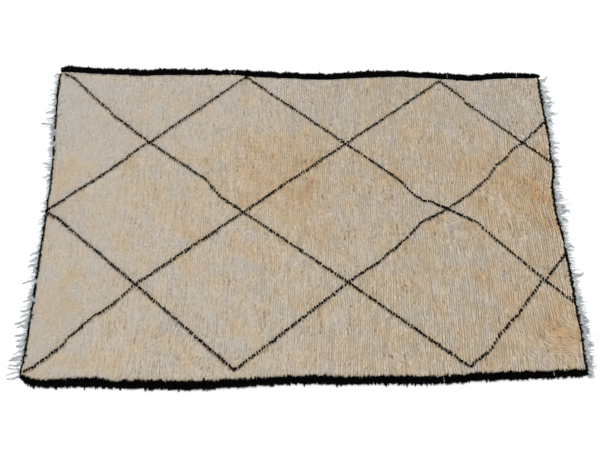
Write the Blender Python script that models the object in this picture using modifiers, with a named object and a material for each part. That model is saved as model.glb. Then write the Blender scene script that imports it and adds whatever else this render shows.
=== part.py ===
"""A hand-knotted long-pile wool rug, lying flat: its pile field, the black border along each long
side, and the warp fringe at each end, as closed solids in metres.

X runs along the rug, Y across it and +Z up, with the underside on z = 0. Near is the -Y side."""

import math
from collections import namedtuple

import bmesh
import bpy
import numpy as np
from mathutils import Vector

PILE_HEIGHT = 0.016  # ground weave and the pile leaning on it
PILE_ROUNDING = 0.004  # the pile's top and bottom rim
BORDER_HEIGHT = 0.019
FRINGE_THICKNESS = 0.003
TASSEL_TIP = 0.0028  # width of a tassel at its end
GAP = 0.0003  # between neighbouring pieces
SIDE_STEP = 0.030  # between outline points on a long side
END_STEP = 0.030  # between outline points on a short side
WANDER = 0.0012  # how far a hand-beaten edge strays between the table rows

# The two long sides: where the black border meets the pile, and where it ends.
Side = namedtuple("Side", "along inner outer")
FAR_SIDE = (
    Side(-1.516, 0.955, 0.983),
    Side(-1.480, 0.953, 0.993),
    Side(-1.240, 0.939, 0.972),
    Side(-1.000, 0.926, 0.964),
    Side(-0.863, 0.931, 0.974),
    Side(-0.636, 0.933, 0.964),
    Side(-0.442, 0.936, 0.967),
    Side(-0.316, 0.920, 0.957),
    Side(-0.058, 0.906, 0.942),
    Side(0.117, 0.895, 0.935),
    Side(0.437, 0.913, 0.957),
    Side(0.600, 0.920, 0.959),
    Side(0.830, 0.906, 0.942),
    Side(1.055, 0.888, 0.928),
    Side(1.212, 0.902, 0.942),
    Side(1.376, 0.911, 0.942),
    Side(1.484, 0.911, 0.926),
)
NEAR_SIDE = (
    Side(-1.491, -0.910, -0.938),
    Side(-1.459, -0.920, -0.965),
    Side(-1.395, -0.940, -0.975),
    Side(-1.290, -0.934, -0.980),
    Side(-1.112, -0.928, -0.975),
    Side(-0.985, -0.945, -0.980),
    Side(-0.839, -0.940, -0.986),
    Side(-0.586, -0.944, -0.993),
    Side(-0.320, -0.935, -0.975),
    Side(-0.156, -0.925, -0.965),
    Side(0.064, -0.915, -0.957),
    Side(0.201, -0.925, -0.963),
    Side(0.390, -0.920, -0.955),
    Side(0.574, -0.920, -0.962),
    Side(0.769, -0.920, -0.955),
    Side(0.886, -0.906, -0.947),
    Side(1.045, -0.899, -0.937),
    Side(1.262, -0.894, -0.929),
    Side(1.511, -0.883, -0.919),
)

# The two ends: where the pile stops, and how far the flat-woven band shows beyond it.
End = namedtuple("End", "across edge band")
LEFT_END = (
    End(-0.935, -1.491, 0.007),
    End(-0.904, -1.491, 0.008),
    End(-0.784, -1.483, 0.012),
    End(-0.649, -1.481, 0.018),
    End(-0.525, -1.479, 0.014),
    End(-0.470, -1.479, 0.026),
    End(-0.415, -1.478, 0.012),
    End(-0.345, -1.478, 0.021),
    End(-0.200, -1.479, 0.009),
    End(-0.040, -1.478, 0.011),
    End(0.100, -1.477, 0.006),
    End(0.209, -1.477, 0.013),
    End(0.339, -1.483, 0.010),
    End(0.450, -1.491, 0.012),
    End(0.565, -1.499, 0.024),
    End(0.640, -1.504, 0.011),
    End(0.819, -1.516, 0.011),
    End(0.955, -1.516, 0.007),
)
RIGHT_END = (
    End(-0.925, 1.512, 0.030),
    End(-0.840, 1.506, 0.036),
    End(-0.778, 1.503, 0.034),
    End(-0.682, 1.507, 0.040),
    End(-0.595, 1.503, 0.043),
    End(-0.511, 1.500, 0.036),
    End(-0.430, 1.499, 0.025),
    End(-0.340, 1.497, 0.022),
    End(-0.223, 1.486, 0.022),
    End(-0.097, 1.481, 0.028),
    End(0.001, 1.466, 0.046),
    End(0.100, 1.467, 0.044),
    End(0.177, 1.467, 0.034),
    End(0.222, 1.479, 0.024),
    End(0.313, 1.492, 0.030),
    End(0.372, 1.482, 0.020),
    End(0.470, 1.486, 0.022),
    End(0.588, 1.487, 0.028),
    End(0.692, 1.482, 0.032),
    End(0.780, 1.479, 0.044),
    End(0.848, 1.476, 0.026),
    End(0.915, 1.484, 0.014),
)

# One row for each tassel: where it leaves the rug, how far its tip lies from the pile, how far
# the tip has swung along the end, and how wide the tassel starts.
Tassel = namedtuple("Tassel", "across reach sweep width")
LEFT_TASSELS = (
    Tassel(-0.919, 0.078, -0.014, 0.010),
    Tassel(-0.899, 0.087, -0.010, 0.008),
    Tassel(-0.881, 0.086, -0.008, 0.008),
    Tassel(-0.858, 0.085, -0.007, 0.009),
    Tassel(-0.838, 0.088, -0.006, 0.009),
    Tassel(-0.813, 0.073, -0.010, 0.010),
    Tassel(-0.786, 0.070, -0.020, 0.010),
    Tassel(-0.750, 0.064, -0.006, 0.012),
    Tassel(-0.723, 0.069, -0.009, 0.012),
    Tassel(-0.696, 0.081, -0.010, 0.014),
    Tassel(-0.652, 0.078, -0.009, 0.018),
    Tassel(-0.612, 0.096, -0.034, 0.012),
    Tassel(-0.588, 0.072, -0.026, 0.013),
    Tassel(-0.542, 0.067, -0.031, 0.018),
    Tassel(-0.508, 0.063, -0.006, 0.010),
    Tassel(-0.482, 0.042, -0.005, 0.010),
    Tassel(-0.388, 0.082, -0.034, 0.008),
    Tassel(-0.301, 0.069, -0.018, 0.010),
    Tassel(-0.260, 0.066, -0.036, 0.012),
    Tassel(-0.210, 0.066, -0.045, 0.020),
    Tassel(0.025, 0.046, -0.003, 0.006),
    Tassel(0.208, 0.030, -0.006, 0.010),
    Tassel(0.241, 0.052, -0.018, 0.014),
    Tassel(0.299, 0.053, 0.008, 0.008),
    Tassel(0.325, 0.073, 0.003, 0.012),
    Tassel(0.459, 0.032, 0.002, 0.012),
    Tassel(0.526, 0.041, -0.003, 0.014),
    Tassel(0.556, 0.037, 0.005, 0.010),
    Tassel(0.581, 0.088, 0.007, 0.008),
    Tassel(0.630, 0.069, 0.004, 0.008),
    Tassel(0.671, 0.073, -0.004, 0.008),
    Tassel(0.716, 0.060, 0.002, 0.006),
    Tassel(0.777, 0.045, -0.009, 0.008),
    Tassel(0.806, 0.053, -0.016, 0.008),
    Tassel(0.871, 0.030, 0.000, 0.008),
    Tassel(0.940, 0.045, -0.016, 0.008),
)
RIGHT_TASSELS = (
    Tassel(-0.829, 0.048, -0.003, 0.016),
    Tassel(-0.744, 0.078, -0.013, 0.020),
    Tassel(-0.674, 0.052, -0.004, 0.018),
    Tassel(-0.617, 0.065, -0.011, 0.018),
    Tassel(-0.500, 0.048, 0.004, 0.018),
    Tassel(-0.429, 0.037, 0.003, 0.012),
    Tassel(-0.368, 0.093, 0.011, 0.018),
    Tassel(-0.219, 0.054, -0.016, 0.010),
    Tassel(-0.189, 0.068, -0.018, 0.010),
    Tassel(-0.117, 0.046, -0.006, 0.014),
    Tassel(-0.031, 0.066, -0.002, 0.012),
    Tassel(0.010, 0.092, 0.004, 0.014),
    Tassel(0.044, 0.069, 0.002, 0.016),
    Tassel(0.106, 0.060, -0.003, 0.016),
    Tassel(0.206, 0.046, -0.016, 0.014),
    Tassel(0.345, 0.047, 0.008, 0.014),
    Tassel(0.392, 0.053, -0.013, 0.012),
    Tassel(0.432, 0.071, -0.009, 0.010),
    Tassel(0.472, 0.085, -0.014, 0.012),
    Tassel(0.526, 0.045, 0.004, 0.010),
    Tassel(0.609, 0.042, 0.002, 0.012),
    Tassel(0.650, 0.101, 0.016, 0.014),
    Tassel(0.712, 0.077, 0.005, 0.010),
    Tassel(0.735, 0.085, 0.004, 0.010),
    Tassel(0.770, 0.074, 0.002, 0.014),
    Tassel(0.812, 0.061, 0.007, 0.014),
    Tassel(0.891, 0.077, 0.034, 0.016),
)

# A tassel's run from the band to its tip: share of the way, share of its starting width.
TASSEL_TAPER = ((0.35, 0.78), (0.72, 0.52))

# The border's rounded section, from its inner foot over the top to its outer foot: share of the
# width from the pile outwards, share of the height.
BORDER_SECTION = (
    (0.00, 0.00),
    (0.00, 0.72),
    (0.14, 0.95),
    (0.42, 1.00),
    (0.70, 0.92),
    (0.91, 0.62),
    (1.00, 0.22),
    (0.99, 0.00),
)


def clear_scene():
    for obj in list(bpy.data.objects):
        bpy.data.objects.remove(obj)


def yarn(name, colour, roughness):
    """A plain wool or cotton finish."""
    material = bpy.data.materials.new(name)
    material.use_nodes = True
    shader = material.node_tree.nodes["Principled BSDF"]
    shader.inputs["Base Color"].default_value = (*colour, 1)
    shader.inputs["Roughness"].default_value = roughness
    shader.inputs["Metallic"].default_value = 0
    return material


def read(rows, key, value, at):
    """A table column's value at a place, straight between its rows."""
    known = sorted((getattr(row, key), getattr(row, value)) for row in rows)
    return float(np.interp(at, *zip(*known)))


def steps(start, end, step):
    """Even places from start to end, no further apart than step."""
    count = max(1, math.ceil(abs(end - start) / step))
    return [start + (end - start) * i / count for i in range(count + 1)]


def wander(at, phase):
    """The small stray of an edge beaten in by hand, from two waves of unlike length."""
    return WANDER * (math.sin(at * 71 + phase) + 0.6 * math.sin(at * 173 + 2 * phase))


def side_edge(rows, which, along):
    phase = len(rows) + (0 if which == "inner" else 3)
    return read(rows, "along", which, along) + wander(along, phase)


def side_steps(rows):
    return steps(rows[0].along, rows[-1].along, SIDE_STEP)


def end_edge(rows, across):
    """Where the pile stops, straight between knots END_STEP apart, so that neighbours meet."""
    knots = [math.floor(across / END_STEP) * END_STEP + END_STEP * i for i in (0, 1)]
    edges = [read(rows, "across", "edge", knot) for knot in knots]
    return float(np.interp(across, knots, edges))


def end_steps(start, end):
    """start, the knots between, and end."""
    knots = range(math.floor(start / END_STEP) + 1, math.ceil(end / END_STEP))
    return [start] + [i * END_STEP for i in knots] + [end]


def lengthwise(rows, along, across):
    """A long side's own measure along the rug, fitted between the two ends at a place across."""
    share = (along - rows[0].along) / (rows[-1].along - rows[0].along)
    return end_edge(LEFT_END, across) * (1 - share) + end_edge(RIGHT_END, across) * share


def pile_side(rows, inwards):
    """The pile's edge along one border, from left to right."""
    places = []
    for along in side_steps(rows):
        across = side_edge(rows, "inner", along) + inwards * GAP
        places.append((lengthwise(rows, along, across), across))
    return places


def pile_outline():
    """The pile field's edge, anticlockwise from its near left corner."""
    near, far = pile_side(NEAR_SIDE, 1), pile_side(FAR_SIDE, -1)
    right = end_steps(near[-1][1], far[-1][1])[1:-1]
    left = end_steps(near[0][1], far[0][1])[1:-1]
    return (
        near
        + [(end_edge(RIGHT_END, across), across) for across in right]
        + far[::-1]
        + [(end_edge(LEFT_END, across), across) for across in reversed(left)]
    )


def flat_solid(name, outline, thickness, material, home):
    """An outline filled and given a thickness, standing on z = 0."""
    curve = bpy.data.curves.new(name, "CURVE")
    curve.dimensions = "2D"
    curve.fill_mode = "BOTH"
    curve.extrude = thickness / 2
    spline = curve.splines.new("POLY")
    spline.points.add(len(outline) - 1)
    for point, (x, y) in zip(spline.points, outline):
        point.co = (x, y, 0, 1)
    spline.use_cyclic_u = True
    solid = bpy.data.objects.new(name, curve)
    solid.location.z = thickness / 2
    curve.materials.append(material)
    home.objects.link(solid)
    return solid


def round_rim(solid, radius):
    """Rounds a flat solid's rims. The filled caps are loose, so they are welded first."""
    weld = solid.modifiers.new("weld", "WELD")
    weld.merge_threshold = 0.0001
    rounding = solid.modifiers.new("rounding", "BEVEL")
    rounding.width = radius
    rounding.segments = 2
    rounding.limit_method = "ANGLE"
    rounding.angle_limit = math.radians(60)
    rounding.use_clamp_overlap = False  # points on the rim may lie closer than the radius


def border(name, rows, material, home):
    """A long side's border: its rounded section lofted along the side, wider and narrower as it
    goes, and closed at both ends."""
    shape = bmesh.new()
    rings = []
    for along in side_steps(rows):
        inner = side_edge(rows, "inner", along)
        width = side_edge(rows, "outer", along) - inner
        ring = []
        for share, height in BORDER_SECTION:
            across = inner + share * width
            place = (lengthwise(rows, along, across), across, height * BORDER_HEIGHT)
            ring.append(shape.verts.new(place))
        rings.append(ring)
    for ring, after in zip(rings, rings[1:]):
        for i in range(len(ring)):
            shape.faces.new((ring[i - 1], ring[i], after[i], after[i - 1]))
    shape.faces.new(rings[0])
    shape.faces.new(reversed(rings[-1]))
    bmesh.ops.recalc_face_normals(shape, faces=shape.faces)
    mesh = bpy.data.meshes.new(name)
    shape.to_mesh(mesh)
    shape.free()
    mesh.shade_smooth()
    mesh.set_sharp_from_angle(angle=math.radians(50))
    mesh.materials.append(material)
    home.objects.link(bpy.data.objects.new(name, mesh))


def tassel_outline(tassel, rows, outwards):
    """One tassel's outline from its low side round its tip to its high side."""
    root = end_edge(rows, tassel.across) + outwards * read(rows, "across", "band", tassel.across)
    tip = end_edge(rows, tassel.across) + outwards * tassel.reach
    low, high = [], []
    for share, width in ((0, 1), *TASSEL_TAPER, (1, TASSEL_TIP / tassel.width)):
        x = root + (tip - root) * share
        y = tassel.across + tassel.sweep * share**1.4
        low.append((x, y - tassel.width * width / 2))
        high.append((x, y + tassel.width * width / 2))
    return low + high[::-1]


def comb_outline(rows, tassels, outwards):
    """An end's fringe: the woven band against the pile, and the tassels that leave it."""
    stops = end_steps(rows[0].across, rows[-1].across)
    inner = [(end_edge(rows, across) + outwards * GAP, across) for across in reversed(stops)]
    outer = []
    for across in stops:
        if all(abs(across - tassel.across) > tassel.width for tassel in tassels):
            edge = end_edge(rows, across) + outwards * read(rows, "across", "band", across)
            outer.append((across, [(edge, across)]))
    outer += [(tassel.across, tassel_outline(tassel, rows, outwards)) for tassel in tassels]
    return inner + [point for _, points in sorted(outer) for point in points]


def centre_on_origin(pieces):
    """Moves all pieces alike, so that the origin is under the middle of the whole rug."""
    bpy.context.view_layer.update()
    graph = bpy.context.evaluated_depsgraph_get()
    solids = [piece.evaluated_get(graph) for piece in pieces]
    corners = [solid.matrix_world @ Vector(c) for solid in solids for c in solid.bound_box]
    for axis in (0, 1):
        places = [corner[axis] for corner in corners]
        for piece in pieces:
            piece.location[axis] -= (min(places) + max(places)) / 2


def main():
    clear_scene()
    home = bpy.data.collections.new("wool_rug")
    bpy.context.scene.collection.children.link(home)
    ivory_wool = yarn("ivory_wool", (0.485, 0.407, 0.313), 0.95)
    black_wool = yarn("black_wool", (0.006, 0.006, 0.007), 0.95)
    warp_yarn = yarn("warp_yarn", (0.56, 0.58, 0.59), 0.9)

    pile = flat_solid("pile_carpet", pile_outline(), PILE_HEIGHT, ivory_wool, home)
    round_rim(pile, PILE_ROUNDING)
    border("border_far", FAR_SIDE, black_wool, home)
    border("border_near", NEAR_SIDE, black_wool, home)
    for name, rows, tassels, outwards in (
        ("fringe_left", LEFT_END, LEFT_TASSELS, -1),
        ("fringe_right", RIGHT_END, RIGHT_TASSELS, 1),
    ):
        outline = comb_outline(rows, tassels, outwards)
        flat_solid(name, outline, FRINGE_THICKNESS, warp_yarn, home)
    centre_on_origin(home.objects)


main()
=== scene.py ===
"""A long-pile wool rug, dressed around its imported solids.

Every knot of the pile is a pair of cut yarn ends standing in a woven ground: ivory wool in rows
that run across the rug, black wool for the diamond lattice, the row at each end and the shaggy
borders. The warp shows at both ends as a flat-woven band and loose tassels of yarn."""

import math
import random
from collections import namedtuple

import bmesh
import bpy
import numpy as np
from mathutils import Matrix, Vector


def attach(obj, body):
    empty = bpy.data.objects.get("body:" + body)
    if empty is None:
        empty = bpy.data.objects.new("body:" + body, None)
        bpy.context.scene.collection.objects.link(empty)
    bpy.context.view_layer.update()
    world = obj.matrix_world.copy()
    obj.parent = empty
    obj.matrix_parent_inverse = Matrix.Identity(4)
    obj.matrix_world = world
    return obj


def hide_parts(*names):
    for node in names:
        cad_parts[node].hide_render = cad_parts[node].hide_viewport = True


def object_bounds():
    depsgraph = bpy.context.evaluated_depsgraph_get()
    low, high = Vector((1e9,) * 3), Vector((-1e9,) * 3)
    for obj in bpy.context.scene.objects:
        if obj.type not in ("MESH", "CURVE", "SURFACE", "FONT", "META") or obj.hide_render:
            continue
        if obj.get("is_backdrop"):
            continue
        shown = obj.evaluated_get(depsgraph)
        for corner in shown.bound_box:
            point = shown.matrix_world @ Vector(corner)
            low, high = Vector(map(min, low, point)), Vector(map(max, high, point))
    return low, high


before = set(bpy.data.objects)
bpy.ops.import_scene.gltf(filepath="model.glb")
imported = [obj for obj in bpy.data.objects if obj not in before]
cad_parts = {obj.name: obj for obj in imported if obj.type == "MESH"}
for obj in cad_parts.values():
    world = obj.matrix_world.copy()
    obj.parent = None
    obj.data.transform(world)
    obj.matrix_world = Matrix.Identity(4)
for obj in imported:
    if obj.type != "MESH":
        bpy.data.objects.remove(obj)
solid_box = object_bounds()

# -------- sizes, in metres

HALF_LENGTH = 1.49  # from the pile's middle to its first and last rows
ROW = 0.0130  # between two rows of knots
ROWS = round(2.985 / ROW)
KNOT = 0.0120  # between two knots of a row
ROW_KNOTS = round(1.856 / KNOT)
GROUND_TOP = 0.0100  # top of the woven ground with its close bed of knots
GROUND_BOTTOM = 0.0004
LIT = 0.0135  # how high up the pile's yarn the painted shade at its root fades out
LOWEST = 0.0003  # nothing planted reaches below this
LEAN = 0.011  # how far beyond its knot the middle of a tuft lies
LINE_CLEAR = 0.0080  # how near a lattice line an ivory knot may stand
EDGE_CLEAR = {"left": 0.010, "right": 0.012, "near": 0.026, "far": -0.009}  # and an edge
LINE_STEP = 0.003  # between two places along a lattice line
END_STEP = 0.0085  # between two black knots at an end
CORD_STEP = 0.009  # between two places along the cord there
CORD_RADIUS = 0.0036
BORDER_STEP = 0.0106  # between two tufts of a border's row
WARP = 0.0042  # between two warps
TASSEL_POINTS = 7  # along a tassel's yarn
SHORT_POINTS = 6  # along a short end
PILE_PIECES = 5

# The lattice's lines, as the places that each one passes on its way.
LATTICE = (
    (
        (-1.484, 0.930), (-1.423, 0.899), (-1.373, 0.848), (-1.300, 0.779), (-1.238, 0.720),
        (-1.180, 0.674), (-1.151, 0.632), (-1.087, 0.589), (-1.027, 0.537), (-0.918, 0.452),
        (-0.567, 0.209), (-0.480, 0.101), (-0.379, 0.032), (-0.341, 0.002),
    ),
    ((-0.341, 0.002), (0.254, -0.415), (0.885, -0.875)),
    (
        (-1.479, -0.901), (-1.427, -0.877), (-1.350, -0.816), (-1.276, -0.757),
        (-1.264, -0.725), (-1.219, -0.690), (-1.179, -0.644), (-1.129, -0.602),
        (-1.072, -0.564), (-1.018, -0.517), (-0.927, -0.426),
    ),
    ((-0.927, -0.426), (-0.341, 0.002), (0.261, 0.444), (0.852, 0.880)),
    (
        (-1.471, 0.021), (-1.423, 0.051), (-1.355, 0.105), (-1.119, 0.288), (-1.046, 0.345),
        (-1.002, 0.390), (-0.956, 0.432), (-0.918, 0.452), (-0.352, 0.910),
    ),
    (
        (-1.473, 0.003), (-1.438, -0.022), (-1.408, -0.032), (-1.370, -0.062),
        (-1.330, -0.098), (-0.927, -0.426), (-0.360, -0.893),
    ),
    (
        (-0.352, 0.910), (0.261, 0.444), (0.570, 0.206), (0.629, 0.136), (0.667, 0.100),
        (0.701, 0.073), (0.737, 0.071), (0.838, 0.024), (1.005, -0.060), (1.072, -0.139),
        (1.347, -0.403), (1.480, -0.519),
    ),
    (
        (-0.360, -0.893), (0.254, -0.415), (0.367, -0.334), (0.428, -0.297), (0.481, -0.248),
        (0.545, -0.198), (0.599, -0.148), (0.646, -0.097), (0.675, -0.059), (0.729, -0.036),
        (0.838, 0.024), (0.883, 0.051), (0.969, 0.110), (1.033, 0.170), (1.085, 0.215),
        (1.146, 0.300), (1.204, 0.339), (1.246, 0.398), (1.321, 0.450), (1.483, 0.601),
    ),
    (
        (0.852, 0.880), (0.991, 0.755), (1.004, 0.727), (1.126, 0.622), (1.181, 0.574),
        (1.321, 0.450), (1.486, 0.313),
    ),
    (
        (0.885, -0.875), (0.942, -0.831), (0.986, -0.803), (1.022, -0.762), (1.052, -0.717),
        (1.093, -0.674), (1.135, -0.626), (1.173, -0.600), (1.202, -0.562), (1.232, -0.519),
        (1.326, -0.409), (1.347, -0.403), (1.480, -0.247),
    ),
)

# Where the ivory wool is warmer or cooler than its mean: along, across, reach and warmth.
TONES = (
    (-1.50, 0.75, 0.45, -0.22), (-0.55, 0.85, 0.30, -0.12), (0.10, 0.85, 0.32, -0.16),
    (1.20, 0.80, 0.34, -0.26), (-0.22, 0.30, 0.26, 0.24), (0.05, 0.38, 0.16, 0.20),
    (-0.03, 0.04, 0.22, 0.20), (0.42, 0.02, 0.20, -0.06), (0.50, 0.24, 0.14, 0.12),
    (0.56, -0.30, 0.16, 0.12), (1.00, 0.30, 0.16, 0.14), (1.32, 0.16, 0.26, 0.26),
    (1.36, -0.66, 0.20, 0.22), (1.15, -0.50, 0.12, 0.10), (-1.42, 0.27, 0.12, 0.22),
    (-1.44, 0.06, 0.08, 0.14), (-1.04, 0.18, 0.12, 0.14), (-0.70, 0.05, 0.24, 0.07),
    (-1.28, -0.12, 0.18, -0.06), (-1.35, -0.45, 0.14, 0.10), (-0.95, -0.75, 0.10, 0.12),
    (-0.62, -0.60, 0.16, -0.06), (0.72, 0.10, 0.12, -0.08), (0.80, -0.42, 0.16, -0.08),
)

# Where the pile has been brushed to lie another way: along, across, reach and the turn away from
# straight across, in degrees.
LAYS = (
    (1.39, -0.71, 0.10, 85), (1.30, -0.45, 0.12, -18), (1.20, -0.72, 0.12, 16),
    (-1.28, -0.55, 0.14, -70), (0.95, 0.02, 0.16, -22), (1.15, 0.05, 0.14, 24),
    (0.74, -0.55, 0.18, 18), (-0.32, 0.22, 0.14, -26), (-1.38, 0.36, 0.10, 50),
)

# Where the black row at the left end is hidden by the warp, from and to.
LEFT_BREAKS = (
    (0.506, 0.548), (0.425, 0.470), (0.352, 0.362), (-0.415, -0.390), (-0.522, -0.494),
)

# How wide the flat-woven band shows beyond the pile: places across, and the width there.
LEFT_BAND = (
    (-0.935, 0.007), (-0.904, 0.008), (-0.784, 0.012), (-0.649, 0.018), (-0.525, 0.014),
    (-0.470, 0.026), (-0.415, 0.012), (-0.345, 0.021), (-0.200, 0.009), (-0.040, 0.011),
    (0.100, 0.006), (0.209, 0.013), (0.339, 0.010), (0.450, 0.012), (0.565, 0.024),
    (0.640, 0.011), (0.819, 0.011), (0.955, 0.007),
)
RIGHT_BAND = (
    (-0.960, 0.040), (-0.925, 0.040), (-0.840, 0.042), (-0.778, 0.034), (-0.682, 0.040),
    (-0.595, 0.043), (-0.511, 0.036), (-0.430, 0.025), (-0.340, 0.022), (-0.223, 0.022),
    (-0.097, 0.028), (0.001, 0.046), (0.100, 0.044), (0.177, 0.034), (0.222, 0.024),
    (0.313, 0.030), (0.372, 0.020), (0.470, 0.022), (0.588, 0.028), (0.692, 0.032),
    (0.780, 0.044), (0.848, 0.026), (0.915, 0.014),
)

# The left end's slack warps: loops (across, reach, half width), one yarn fallen over the pile, and
# the knot tied in a tassel's tip, as the places that each one passes.
LOOPS = (
    (0.905, 0.030, 0.012), (0.880, 0.034, 0.010), (0.845, 0.022, 0.009), (0.760, 0.024, 0.010),
    (0.735, 0.030, 0.008), (0.690, 0.020, 0.009), (0.495, 0.020, 0.008), (-0.458, 0.030, 0.008),
)
OVERLAID = (
    (-1.512, 0.405, 0.003), (-1.503, 0.414, 0.010), (-1.493, 0.428, 0.0205),
    (-1.478, 0.439, 0.0215), (-1.462, 0.444, 0.0205), (-1.447, 0.452, 0.018),
)
TIED_TIP = (
    (-1.575, 0.586, 0.003), (-1.580, 0.588, 0.0045), (-1.586, 0.589, 0.0045),
    (-1.591, 0.590, 0.0035),
)

# Pale yarns that have worked loose and lie across a border (its name, where, the slant), and where
# black flecks lie on the right band.
STRAYS = (
    ("far", -0.452, 0.006), ("far", -0.424, 0.004), ("far", 0.905, -0.002),
    ("far", 1.338, 0.001), ("near", 0.740, 0.004), ("near", 1.322, 0.003),
)
FLECKS = (-0.920, -0.914, -0.907, -0.899, -0.886, -0.868, -0.851, -0.838, -0.655, -0.640, 0.555)

# One row for each tassel: where it leaves the rug, how far its tip lies from the pile, how far
# the tip has swung along the end, and how wide the tassel starts.
Tassel = namedtuple("Tassel", "across reach sweep width")
LEFT_TASSELS = (
    (-0.919, 0.078, -0.014, 0.010), (-0.899, 0.087, -0.010, 0.008),
    (-0.881, 0.086, -0.008, 0.008), (-0.858, 0.085, -0.007, 0.009),
    (-0.838, 0.088, -0.006, 0.009), (-0.813, 0.073, -0.010, 0.010),
    (-0.786, 0.070, -0.020, 0.010), (-0.750, 0.064, -0.006, 0.012),
    (-0.723, 0.069, -0.009, 0.012), (-0.696, 0.081, -0.010, 0.014),
    (-0.652, 0.078, -0.009, 0.018), (-0.612, 0.096, -0.034, 0.012),
    (-0.588, 0.072, -0.026, 0.013), (-0.542, 0.067, -0.031, 0.018),
    (-0.508, 0.063, -0.006, 0.010), (-0.482, 0.042, -0.005, 0.010),
    (-0.388, 0.082, -0.034, 0.008), (-0.301, 0.069, -0.018, 0.010),
    (-0.260, 0.066, -0.036, 0.012), (-0.210, 0.066, -0.045, 0.020), (0.025, 0.046, -0.003, 0.006),
    (0.208, 0.030, -0.006, 0.010), (0.241, 0.052, -0.018, 0.014), (0.299, 0.053, 0.008, 0.008),
    (0.325, 0.073, 0.003, 0.012), (0.459, 0.032, 0.002, 0.012), (0.526, 0.041, -0.003, 0.014),
    (0.556, 0.037, 0.005, 0.010), (0.581, 0.088, 0.007, 0.008), (0.630, 0.069, 0.004, 0.008),
    (0.671, 0.073, -0.004, 0.008), (0.716, 0.060, 0.002, 0.006), (0.777, 0.045, -0.009, 0.008),
    (0.806, 0.053, -0.016, 0.008), (0.871, 0.030, 0.000, 0.008), (0.940, 0.045, -0.016, 0.008),
)
RIGHT_TASSELS = (
    (-0.829, 0.048, -0.003, 0.016), (-0.744, 0.078, -0.013, 0.020),
    (-0.674, 0.052, -0.004, 0.018), (-0.617, 0.065, -0.011, 0.018), (-0.500, 0.048, 0.004, 0.018),
    (-0.429, 0.037, 0.003, 0.012), (-0.368, 0.093, 0.011, 0.018), (-0.219, 0.054, -0.016, 0.010),
    (-0.189, 0.068, -0.018, 0.010), (-0.117, 0.046, -0.006, 0.014),
    (-0.031, 0.066, -0.002, 0.012), (0.010, 0.092, 0.004, 0.014), (0.044, 0.069, 0.002, 0.016),
    (0.106, 0.060, -0.003, 0.016), (0.206, 0.046, -0.016, 0.014), (0.345, 0.047, 0.008, 0.014),
    (0.392, 0.053, -0.013, 0.012), (0.432, 0.071, -0.009, 0.010), (0.472, 0.085, -0.014, 0.012),
    (0.526, 0.045, 0.004, 0.010), (0.609, 0.042, 0.002, 0.012), (0.650, 0.101, 0.016, 0.014),
    (0.712, 0.077, 0.005, 0.010), (0.735, 0.085, 0.004, 0.010), (0.770, 0.074, 0.002, 0.014),
    (0.812, 0.061, 0.007, 0.014), (0.891, 0.077, 0.034, 0.016),
)

# How an end's tassels hang: between two thick yarns, how many hairs, the least share of its length
# that a yarn keeps, how far the yarns spread at the root and draw in, and the yarns' radius.
TasselStyle = namedtuple("TasselStyle", "pitch hairs keep spread drawn_in radius")

# What sets the two ends apart.
End = namedtuple(
    "End",
    "outwards "  # which way along the rug the fringe leaves
    "row_step "  # between the two lines of black knots
    "row_width "  # of their tufts, as a share
    "row_turn "  # of their tufts, mean and spread in degrees
    "cords "  # how far inwards and how high each cord under them lies
    "breaks "
    "bands "
    "woven_from "  # where the woven cloth starts, across, if not at the pile's corner
    "woven "  # the share of the band that is cloth, at places across
    "tassels "
    "style "
    "hook wave radius "  # of the short ends: how far tips hook, how much they curl, how thick
    "seed",
)
ENDS = {
    "left": End(
        outwards=-1, row_step=0.0032, row_width=0.7, row_turn=(0, 20),
        cords=((-0.0006, 0.0040), (0.0010, 0.0084)),
        breaks=LEFT_BREAKS, bands=LEFT_BAND, woven_from=None, woven=((0.0, 0.8),),
        tassels=LEFT_TASSELS,
        style=TasselStyle(0.0024, 3, 0.75, 1.1, 0.55, (0.0019, 0.0027)),
        hook=0.009, wave=1.8, radius=(0.0013, 0.0021), seed=0,
    ),
    "right": End(
        outwards=1, row_step=0.0050, row_width=0.85, row_turn=(-8, 34),
        cords=((-0.0008, 0.0044), (0.0018, 0.0080), (0.0056, 0.0080)),
        breaks=(), bands=RIGHT_BAND, woven_from=-0.930,
        woven=((-0.90, 0.90), (-0.86, 0.78), (-0.45, 0.78), (-0.42, 0.60)),
        tassels=RIGHT_TASSELS,
        style=TasselStyle(0.0020, 7, 0.35, 2.0, 0.75, (0.0014, 0.0019)),
        hook=0.003, wave=1.0, radius=(0.0009, 0.0016), seed=1,
    ),
}


# -------- the pile's outline


def pile_edges():
    """The pile's four edges as sorted places, from the lower ring of its solid's wall."""
    ring_height, nearly = 0.004, 0.0008
    ring = {
        (round(v.co.x, 5), round(v.co.y, 5))
        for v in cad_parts["pile_carpet"].data.vertices
        if abs(v.co.z - ring_height) < nearly
    }
    loop = sorted(ring, key=lambda place: math.atan2(place[1], place[0]))
    corners = {}
    for name, x, y in (("nl", -1, -1), ("nr", 1, -1), ("fr", 1, 1), ("fl", -1, 1)):
        corners[name] = max(range(len(loop)), key=lambda i: loop[i][0] * x + loop[i][1] * y)

    def stretch(start, end):
        i, found = corners[start], []
        while True:
            found.append(loop[i % len(loop)])
            if i % len(loop) == corners[end]:
                return np.array(found)
            i += 1

    near, right, far, left = (
        stretch(*ends) for ends in (("nl", "nr"), ("nr", "fr"), ("fr", "fl"), ("fl", "nl"))
    )
    return {
        "near": near[np.argsort(near[:, 0])],
        "far": far[np.argsort(far[:, 0])],
        "left": left[np.argsort(left[:, 1])][:, ::-1],
        "right": right[np.argsort(right[:, 1])][:, ::-1],
    }


EDGES = pile_edges()


def stretch_of(name):
    """Where an edge of the pile starts and ends."""
    return EDGES[name][0, 0], EDGES[name][-1, 0]


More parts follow.
